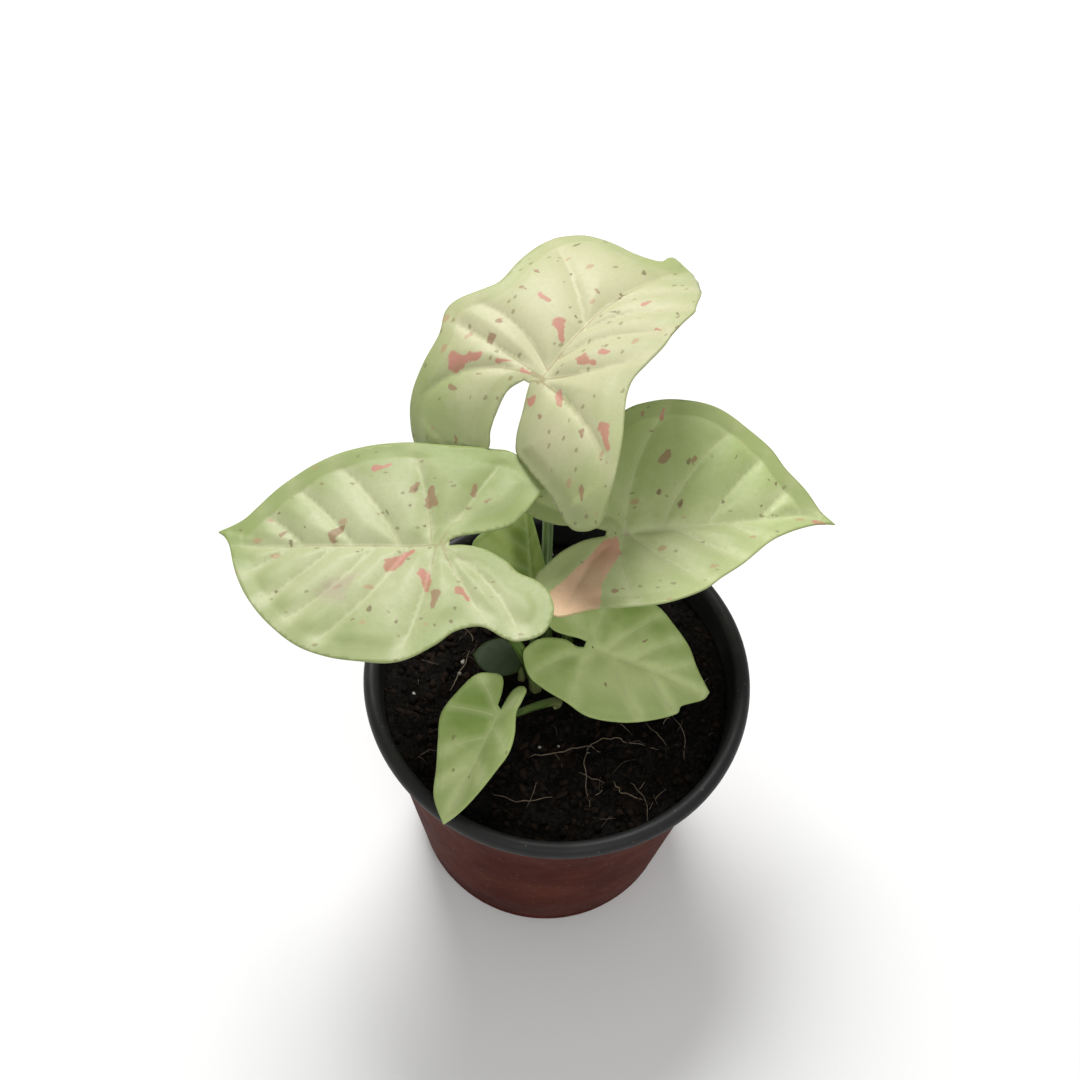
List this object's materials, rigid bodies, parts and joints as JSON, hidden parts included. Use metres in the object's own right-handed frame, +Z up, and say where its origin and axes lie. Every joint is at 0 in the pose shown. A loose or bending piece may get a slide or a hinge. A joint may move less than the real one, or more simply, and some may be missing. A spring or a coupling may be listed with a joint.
{
  "type": "potted syngonium",
  "caption": "Young arrowhead vine with pale arrow-shaped leaves on upright stalks, rooted in dark soil in a thin round nursery pot.",
  "frame": {"origin": "centre of the pot's underside", "axes": "+Z up through the pot, the front of the picture faces -Y, +X to the right"},
  "size_m": [0.1474, 0.1319, 0.167],
  "materials": {
    "pot": "thin moulded plastic, black inside and on the rim, dark red-brown outside",
    "soil": "dark moist peat and coir with fine fibres",
    "pale_leaf": "soft satin leaf, cream green with small pink and tan flecks",
    "leaf": "soft satin leaf, pale green with darker margins and a few pink marks",
    "green_leaf": "soft satin leaf, mid green",
    "young_leaf": "soft satin young leaf, green",
    "dark_leaf": "glossy dark green juvenile leaf",
    "stalk": "smooth green leaf stalk"
  },
  "bodies": {
    "root": {"pot": "pot", "soil": "soil", "crown_stem": "stalk", "leaf_top": "pale_leaf", "leaf_left": "leaf", "leaf_right": "leaf", "leaf_front": "green_leaf", "leaf_narrow": "green_leaf", "leaf_young": "young_leaf", "leaf_tiny": "dark_leaf", "stalk_top": "stalk", "stalk_left": "stalk", "stalk_right": "stalk", "stalk_front": "stalk", "stalk_narrow": "stalk", "stalk_young": "stalk", "stalk_tiny": "stalk"}
  },
  "joints": []
}
